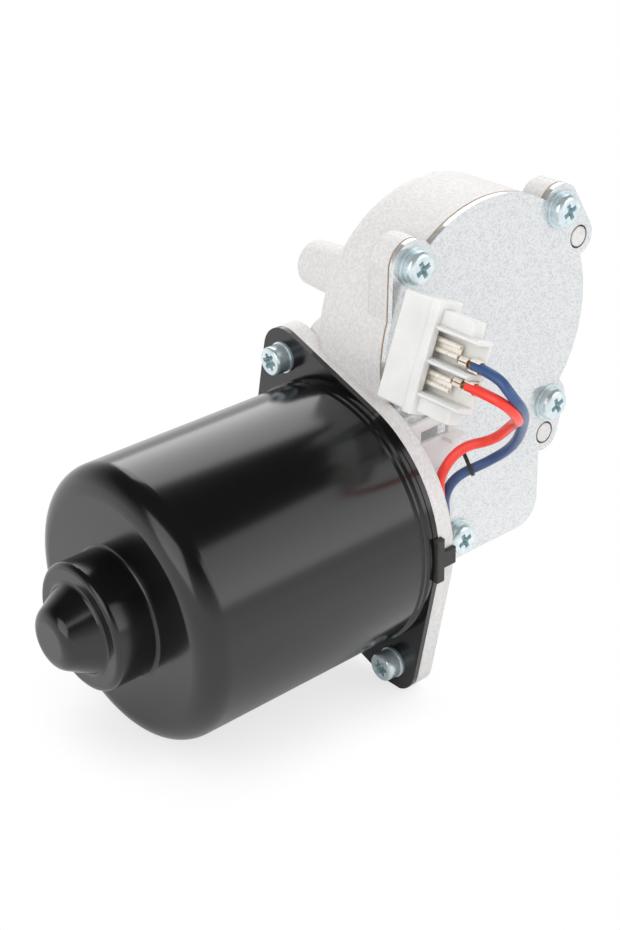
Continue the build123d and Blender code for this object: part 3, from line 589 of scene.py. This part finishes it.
class Bench:
    """Models one piece in edit mode, with lengths in millimetres in the piece's own frame."""

    MERGE = 0.005
    SHARP = 50.0
    SMOOTH = 40.0
    ROUNDING_STEPS = 2

    def __init__(self, name: str) -> None:
        """Name the piece.

        Args:
            name: name of the piece.
        """
        self.name = name
        self.parts: list[bpy.types.Object] = []

    @property
    def piece(self) -> bpy.types.Object:
        """The part that is being worked on."""
        return self.parts[-1]

    def keep(self, made: bpy.types.Object) -> None:
        """Take a new primitive onto the bench and open it in edit mode, with nothing selected.

        Args:
            made: the primitive.
        """
        bpy.ops.object.transform_apply(location=True, rotation=True, scale=True)
        self.parts.append(made)
        bpy.ops.object.mode_set(mode="EDIT")
        bpy.ops.mesh.select_mode(type="FACE")
        bpy.ops.mesh.select_all(action="DESELECT")

    def block(self, size: Point, centre: Point) -> None:
        """Start a part from a block.

        Args:
            size: its sides.
            centre: its middle.
        """
        bpy.ops.object.select_all(action="DESELECT")
        bpy.ops.mesh.primitive_cube_add(size=1.0, location=Vector(centre) * MM)
        bpy.context.object.scale = Vector(size) * MM
        self.keep(bpy.context.object)

    def rod(self, radius: float, length: float, centre: Point, sides: int) -> None:
        """Start a part from a many-sided rod along Y.

        Args:
            radius: its radius.
            length: its length.
            centre: its middle.
            sides: how many sides it has.
        """
        bpy.ops.object.select_all(action="DESELECT")
        bpy.ops.mesh.primitive_cylinder_add(vertices=sides, radius=radius * MM, depth=length * MM,
                                            location=Vector(centre) * MM, rotation=(math.pi / 2, 0.0, 0.0))
        self.keep(bpy.context.object)

    def pick(self, wanted: Callable[[Vector, Vector], bool]) -> None:
        """Select faces of the open part by place and direction.

        Args:
            wanted: says of a face's middle in millimetres and its normal whether it is selected.
        """
        mesh = bmesh.from_edit_mesh(self.piece.data)
        for face in mesh.faces:
            face.select_set(wanted(face.calc_center_median() / MM, face.normal))
        mesh.select_flush_mode()
        bmesh.update_edit_mesh(self.piece.data)

    def spin(self, degrees: float, centre: Point, axis: Point, steps: int) -> None:
        """Carry the selected faces round an axis.

        Args:
            degrees: how far.
            centre: a point of the axis.
            axis: direction of the axis.
            steps: number of steps.
        """
        bpy.ops.mesh.spin(steps=steps, angle=math.radians(degrees), center=Vector(centre) * MM, axis=axis)

    def draw_out(self, move: Point, turn: float = 0.0, swell: float = 1.0) -> None:
        """Extrude the selected faces, then turn and swell them about Y through their middle.

        Args:
            move: how far they go.
            turn: turn about Y in degrees.
            swell: scale across Y.
        """
        bpy.ops.mesh.extrude_region_move(TRANSFORM_OT_translate={"value": Vector(move) * MM})
        mesh = bmesh.from_edit_mesh(self.piece.data)
        middles = [face.calc_center_median() for face in mesh.faces if face.select]
        middle = sum(middles, Vector()) / len(middles)
        if turn:
            bpy.ops.transform.rotate(value=math.radians(turn), orient_axis="Y", center_override=middle)
        if swell != 1.0:
            bpy.ops.transform.resize(value=(swell, 1.0, swell), center_override=middle)

    def soften(self, width: float) -> None:
        """Close the part, round its sharp edges and shade it smooth.

        Args:
            width: width of the rounding.
        """
        bpy.ops.mesh.select_all(action="SELECT")
        bpy.ops.mesh.remove_doubles(threshold=self.MERGE * MM)
        bpy.ops.mesh.normals_make_consistent(inside=False)
        bpy.ops.object.mode_set(mode="OBJECT")
        bevel = self.piece.modifiers.new("soft_edges", "BEVEL")
        bevel.width = width * MM
        bevel.segments = self.ROUNDING_STEPS
        bevel.limit_method = "ANGLE"
        bevel.angle_limit = math.radians(self.SHARP)
        bpy.ops.object.modifier_apply(modifier=bevel.name)
        bpy.ops.object.shade_smooth_by_angle(angle=math.radians(self.SMOOTH))

    def finish(self, turned: Matrix) -> bpy.types.Object:
        """Join the parts and put the piece in its place.

        Args:
            turned: place of the piece's own frame.

        Returns:
            The piece, with its place in its mesh.
        """
        bpy.ops.object.select_all(action="DESELECT")
        for part in self.parts:
            part.select_set(True)
        bpy.context.view_layer.objects.active = self.parts[0]
        if len(self.parts) > 1:
            bpy.ops.object.join()
        made = bpy.context.object
        made.name = made.data.name = self.name
        made.matrix_world = turned
        bpy.ops.object.transform_apply(location=True, rotation=True, scale=True)
        made.select_set(False)
        LOG.info("piece %s modelled", self.name)
        return made


@dataclass
class Terminals:
    """Two tinned terminals with rolled edges, open crimps and the leads' bare strands, in the connector."""

    origin: Point = (3.8, -33.0, 55.4)
    tilt: float = 21.5
    middle: float = -0.6
    way: float = 3.8
    lean: float = 1.7
    sheet: float = 0.4
    front: float = 12.5
    blade_start: float = -6.5
    blade_width: float = 2.6
    blade_back: float = 0.5
    blade_soft: float = 0.08
    roll: float = 0.5
    roll_turn: float = 265.0
    roll_steps: int = 12
    neck_gap: float = 0.8
    neck_start: float = 0.6
    neck_width: float = 1.2
    neck_soft: float = 0.06
    wire_crimp: tuple[float, float] = (-10.3, -7.5)
    wire_back: float = 0.95
    wire_opening: float = 10.0
    grip: tuple[float, float] = (-14.5, -11.3)
    grip_back: float = 1.58
    grip_opening: float = 42.0
    wing_steps: int = 9
    strand_radius: float = 0.88
    strand_sides: int = 14
    strand_reach: tuple[float, float] = (0.4, 0.7)
    strand_steps: int = 8
    strand_hollow: float = 0.78
    strand_twist: float = 9.0
    strand_splay: float = 1.05
    splayed_steps: int = 2
    strand_soft: float = 0.03

    def frame(self) -> Matrix:
        """Place of the connector's own frame, its ways along Y and its length along Z."""
        return Matrix.Translation(place(self.origin)) @ Matrix.Rotation(math.radians(self.tilt), 4, "Y")

    def blade(self, bench: Bench) -> None:
        """Flat blade whose long edges roll up towards the open side.

        Args:
            bench: where the terminal is modelled.
        """
        length = self.front - self.blade_start
        bench.block((self.sheet, length, self.blade_width),
                    (self.blade_back, self.blade_start + length / 2, self.way))
        for side in (1.0, -1.0):
            edge = self.way + side * self.blade_width / 2
            bench.pick(lambda middle, normal: normal.z * side > FACING and abs(middle.z - edge) < AT_PLACE)
            bench.spin(side * self.roll_turn, (self.blade_back - self.roll, 0.0, edge), (0.0, 1.0, 0.0),
                       self.roll_steps)
        bench.soften(self.blade_soft)

    def neck(self, bench: Bench) -> None:
        """Neck that steps back to the two crimps, whose wings curl round the strands and the insulation.

        Args:
            bench: where the terminal is modelled.
        """
        height = self.way - self.lean
        start = self.blade_start + self.neck_gap
        bench.block((self.sheet, self.neck_start, self.neck_width),
                    (self.blade_back, start + self.neck_start / 2, height))
        steps = ((self.wire_back - self.blade_back, self.wire_crimp[1] - start),
                 (0.0, self.wire_crimp[0] - self.wire_crimp[1]),
                 (self.grip_back - self.wire_back, self.grip[1] - self.wire_crimp[0]),
                 (0.0, self.grip[0] - self.grip[1]))
        for back, along in steps:
            bench.pick(lambda middle, normal: normal.y < -FACING)
            bench.draw_out((back, along, 0.0))
        for (low, high), back, opening in ((self.wire_crimp, self.wire_back, self.wire_opening),
                                           (self.grip, self.grip_back, self.grip_opening)):
            lean = math.degrees(math.atan2(self.neck_width / 2, back))
            for side in (1.0, -1.0):
                edge = height + side * self.neck_width / 2
                bench.pick(lambda middle, normal: low < middle.y < high and normal.z * side > FACING
                           and abs(middle.z - edge) < AT_PLACE and abs(middle.x - back) < AT_PLACE)
                bench.spin(side * (180.0 - lean - opening), (0.0, 0.0, height), (0.0, 1.0, 0.0), self.wing_steps)
        bench.soften(self.neck_soft)

    def strands(self) -> Bench:
        """Twisted bare strands from the insulation through the wire crimp.

        Returns:
            The bench that holds them.
        """
        bench = Bench("lead_strands_upper")
        height = self.way - self.lean
        start = self.grip[1] - self.strand_reach[0]
        step = (self.wire_crimp[1] + self.strand_reach[1] - start) / self.strand_steps
        bench.rod(self.strand_radius, step, (0.0, start + step / 2, height), self.strand_sides)
        mesh = bmesh.from_edit_mesh(bench.piece.data)
        hollows = sorted(mesh.verts, key=lambda corner: math.atan2(corner.co.z / MM - height, corner.co.x / MM))
        for corner in hollows[::4] + hollows[1::4]:
            corner.co.x *= self.strand_hollow
            corner.co.z = (height + (corner.co.z / MM - height) * self.strand_hollow) * MM
        bmesh.update_edit_mesh(bench.piece.data)
        for left in range(self.strand_steps - 1, 0, -1):
            bench.pick(lambda middle, normal: normal.y > FACING)
            swell = self.strand_splay if left <= self.splayed_steps else 1.0
            bench.draw_out((0.0, step, 0.0), turn=self.strand_twist, swell=swell)
        bench.soften(self.strand_soft)
        return bench

    def mirrored(self, piece: bpy.types.Object, name: str) -> bpy.types.Object:
        """Copy a piece of the upper way into the lower way, mirrored about the connector's middle.

        Args:
            piece: the upper piece.
            name: name of the copy.

        Returns:
            The copy, with its own mesh.
        """
        copy = piece.copy()
        copy.data = piece.data.copy()
        copy.name = copy.data.name = name
        bpy.context.collection.objects.link(copy)
        own = self.frame()
        flip = Matrix.Translation((0.0, 0.0, 2 * self.middle * MM)) @ Matrix.Scale(-1.0, 4, (0.0, 0.0, 1.0))
        copy.data.transform(own @ flip @ own.inverted())
        copy.data.flip_normals()
        LOG.info("piece %s copied", name)
        return copy

    def build(self, shop: PaintShop) -> list[bpy.types.Object]:
        """Model both terminals and both ends of bare strands.

        Args:
            shop: gives the finishes.

        Returns:
            The four pieces, terminals first.
        """
        bench = Bench("terminal_upper")
        self.blade(bench)
        self.neck(bench)
        upper = bench.finish(self.frame())
        strands = self.strands().finish(self.frame())
        pieces = [upper, self.mirrored(upper, "terminal_lower"), strands,
                  self.mirrored(strands, "lead_strands_lower")]
        for piece, finish in zip(pieces, ("brass_sheet", "brass_sheet", "copper_wire", "copper_wire")):
            shop.dress(piece, finish)
            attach(piece, "housing")
            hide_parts("connector_terminals")
        return pieces


@dataclass
class CableTie:
    """Narrow tie round the blue lead, with its head and the cut tail."""

    start: Point = (17.2, -27.2, 14.8)
    end: Point = (23.5, -31.5, 17.7)
    bore: float = 1.45
    strap: float = 0.45
    width: float = 1.1
    strap_start: float = 0.4
    strap_turn: float = 345.0
    strap_steps: int = 28
    strap_soft: float = 0.06
    head: Point = (1.3, 1.6, 1.8)
    head_soft: float = 0.22
    window_rim: float = 0.35
    window_depth: float = 0.5
    tail_start: float = 1.0
    tail_out: float = 0.5
    tail_step: float = 0.8
    tail_lifts: tuple[float, ...] = (0.05, 0.15, 0.3, 0.4)
    tail_facing: float = 0.6
    roll: float = 340.0

    def frame(self) -> Matrix:
        """Find where the tie's own frame lies, with the lead along its Z.

        Returns:
            The frame's place.
        """
        along = Vector(self.end) - Vector(self.start)
        middle = (Vector(self.start) + Vector(self.end)) / 2
        turn = along.to_track_quat("Z", "Y").to_matrix().to_4x4()
        return Matrix.Translation(place(middle)) @ turn @ Matrix.Rotation(math.radians(self.roll), 4, "Z")

    def build(self, shop: PaintShop) -> bpy.types.Object:
        """Model the strap, head and tail.

        Args:
            shop: gives the finish.

        Returns:
            The tie.
        """
        bench = Bench("cable_tie")
        reach = self.bore + self.strap / 2
        bench.block((self.strap, self.strap_start, self.width), (reach, 0.0, 0.0))
        bench.pick(lambda middle, normal: normal.y > FACING)
        bench.spin(-self.strap_turn, (0.0, 0.0, 0.0), (0.0, 0.0, 1.0), self.strap_steps)
        bench.soften(self.strap_soft)
        bench.block(self.head, (self.bore + self.head[0] / 2, 0.0, 0.0))
        bench.pick(lambda middle, normal: normal.y < -FACING)
        bpy.ops.mesh.inset(thickness=self.window_rim * MM)
        bpy.ops.mesh.extrude_region_move(TRANSFORM_OT_translate={"value": (0.0, self.window_depth * MM, 0.0)})
        bench.soften(self.head_soft)
        bench.block((self.strap, self.tail_start, self.width), (reach + self.tail_out, self.head[1] / 2, 0.0))
        for lift in self.tail_lifts:
            bench.pick(lambda middle, normal: normal.y > self.tail_facing and middle.y > self.head[1] / 2)
            bench.draw_out((lift, self.tail_step, 0.0))
        bench.soften(self.strap_soft)
        tie = bench.finish(self.frame())
        shop.dress(tie, "black_rubber")
        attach(tie, "housing")
        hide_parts("lead_tie")
        return tie


# ---------------------------------------------------------------- studio
AIM = (-20.0, 0.0, 10.0)
WHITE = (1.0, 1.0, 1.0)


@dataclass
class Floor:
    """Pale floor that the motor lies on, through the can's far edge and the lower ear."""

    can_edge: Point = (-72.0, 0.0, -38.1)
    ear_bottom: Point = (-1.0, -22.0, -47.8)
    size: float = 12.0
    white: Colour = (0.92, 0.92, 0.92)
    rough: float = 0.9
    specular: float = 0.1
    shadow_reach: float = 0.024
    shadow_levels: tuple[float, float] = (0.45, 0.93)
    glow: float = 0.72
    mirror_glow: float = 0.12
    mirror_near: float = 0.05
    mirror_far: float = 0.2

    def build(self) -> bpy.types.Object:
        """Make the floor plane, tilted through both resting places.

        Returns:
            The floor.
        """
        bpy.ops.mesh.primitive_plane_add(size=self.size)
        floor = bpy.context.object
        floor.name = "floor"
        low, high = place(self.ear_bottom), place(self.can_edge)
        slope = math.atan2(high.z - low.z, low.x - high.x)
        floor.rotation_euler = (0.0, slope, 0.0)
        floor.location = low
        floor.data.materials.append(self.material())
        LOG.info("floor made, slope %.1f degrees", math.degrees(slope))
        return floor

    def material(self) -> bpy.types.Material:
        """White floor that keeps a soft shadow near the motor and fades to plain white.

        Returns:
            The material.
        """
        material = bpy.data.materials.new("studio_floor")
        material.use_nodes = True
        graph = Graph(material.node_tree)
        shader = material.node_tree.nodes["Principled BSDF"]
        graph.feed(shader.inputs["Base Color"], self.white)
        graph.feed(shader.inputs["Roughness"], self.rough)
        graph.feed(shader.inputs["Specular IOR Level"], self.specular)
        where = graph.node("ShaderNodeTexCoord").outputs["Object"]
        far = graph.node("ShaderNodeVectorMath", {"0": where}, operation="LENGTH").outputs["Value"]
        closeness = graph.node("ShaderNodeAmbientOcclusion", {"Distance": self.shadow_reach}, samples=12)
        fade = graph.span(closeness.outputs["AO"], *self.shadow_levels, self.glow, 1.0)
        paths = graph.node("ShaderNodeLightPath").outputs
        mirrored = graph.math("MAXIMUM", paths["Is Glossy Ray"], paths["Is Transmission Ray"])
        dim = graph.span(far, self.mirror_near, self.mirror_far, self.mirror_glow, 1.0)
        seen = graph.math("MULTIPLY_ADD", mirrored, dim, paths["Is Camera Ray"])
        glow = graph.node("ShaderNodeEmission", {"Color": WHITE, "Strength": 1.0})
        mixed = graph.node("ShaderNodeMixShader", {"0": graph.math("MULTIPLY", fade, seen),
                                                   "1": shader.outputs[0], "2": glow.outputs[0]})
        graph.feed(material.node_tree.nodes["Material Output"].inputs["Surface"], mixed.outputs[0])
        return material


@dataclass
class SoftBox:
    """One rectangular soft box, aimed at the motor."""

    name: str
    direction: Point
    distance: float
    width: float
    height: float
    radiance: float

    def build(self) -> bpy.types.Object:
        """Make the lamp.

        Returns:
            The lamp.
        """
        data = bpy.data.lights.new(self.name, "AREA")
        data.shape = "RECTANGLE"
        data.size = self.width
        data.size_y = self.height
        data.energy = self.radiance * math.pi * self.width * self.height
        lamp = bpy.data.objects.new(self.name, data)
        bpy.context.collection.objects.link(lamp)
        aim = Vector(self.direction).normalized()
        lamp.location = place(AIM) + aim * self.distance
        lamp.rotation_euler = aim.to_track_quat("Z", "Y").to_euler()
        LOG.info("lamp %s made", self.name)
        return lamp


@dataclass
class Studio:
    """Floor, soft boxes and a white surround."""

    fill: float = 0.95
    horizon: float = 0.85
    ceiling: float = 0.03
    gloss_heights: tuple[float, float] = (0.1, 0.6)
    boxes: tuple[SoftBox, ...] = (
        SoftBox("back_soft_box", (0.55, 0.62, 0.52), 1.1, 0.72, 0.86, 2.3),
        SoftBox("front_soft_box", (0.55, -0.72, 0.42), 1.1, 0.8, 0.78, 1.25),
        SoftBox("left_soft_box", (-0.85, -0.15, 0.5), 1.2, 0.9, 0.9, 1.7),
    )

    def build(self) -> None:
        """Make floor, lamps and world."""
        Floor().build()
        for box in self.boxes:
            box.build()
        world = bpy.data.worlds.new("white_surround")
        bpy.context.scene.world = world
        world.use_nodes = True
        graph = Graph(world.node_tree)
        background = world.node_tree.nodes["Background"]
        path = graph.node("ShaderNodeLightPath").outputs
        direction = graph.node("ShaderNodeTexCoord").outputs["Generated"]
        height = graph.node("ShaderNodeSeparateXYZ", {"0": direction}).outputs["Z"]
        gloss = graph.span(height, *self.gloss_heights, self.horizon, self.ceiling)
        mirrored = graph.math("MAXIMUM", path["Is Glossy Ray"], path["Is Transmission Ray"])
        level = graph.span(mirrored, 0.0, 1.0, self.fill, gloss)
        level = graph.span(path["Is Camera Ray"], 0.0, 1.0, level, 1.0)
        graph.feed(background.inputs["Color"], WHITE)
        graph.feed(background.inputs["Strength"], level)


@dataclass
class Camera:
    """Camera at the angle from which the motor is shown."""

    azimuth: float = -40.111
    elevation: float = 28.163
    roll: float = 1.649
    side: float = 9.263
    rise: float = -12.064
    distance: float = 489.115
    focal_pixels: float = 1750.207
    picture_height: int = 930
    sensor: float = 36.0
    nearest: float = 0.01

    def build(self) -> None:
        """Make the camera and give it to the scene."""
        turn, tilt, roll = (math.radians(angle) for angle in (self.azimuth, self.elevation, self.roll))
        back = Vector((math.sin(turn) * math.cos(tilt), -math.cos(turn) * math.cos(tilt), math.sin(tilt)))
        right = Vector((math.cos(turn), math.sin(turn), 0.0))
        up = back.cross(right)
        rolled_right = right * math.cos(roll) - up * math.sin(roll)
        rolled_up = right * math.sin(roll) + up * math.cos(roll)
        data = bpy.data.cameras.new("camera")
        data.sensor_width = self.sensor
        data.lens = self.focal_pixels * self.sensor / self.picture_height
        data.clip_start = self.nearest
        camera = bpy.data.objects.new("camera", data)
        bpy.context.collection.objects.link(camera)
        axes = Matrix((rolled_right, rolled_up, back)).transposed()
        eye = rolled_right * -self.side - rolled_up * self.rise + back * self.distance
        camera.matrix_world = Matrix.Translation(place(eye)) @ axes.to_4x4()
        bpy.context.scene.camera = camera
        LOG.info("camera made, lens %.1f mm", data.lens)


# ---------------------------------------------------------------- all of it
def main() -> None:
    """Build everything in order."""
    logging.basicConfig(level=logging.INFO, format="%(message)s")
    bpy.ops.object.select_all(action="DESELECT")
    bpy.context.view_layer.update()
    Camera().build()
    shop = PaintShop()
    terminals = Terminals().build(shop)
    tie = CableTie().build(shop)
    Lead("lead_blue_strand", "blue_insulation", 94.3, BLUE_ROUTE, with_pieces=[tie]).build(shop)
    Lead("lead_red_strand", "red_insulation", 84.1, RED_ROUTE,
         with_pieces=[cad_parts["connector_housing"], *terminals]).build(shop)
    shop.dress_frame()
    Studio().build()
    scene = bpy.context.scene
    scene.view_settings.view_transform = "Standard"


if __name__ == "__main__":
    main()
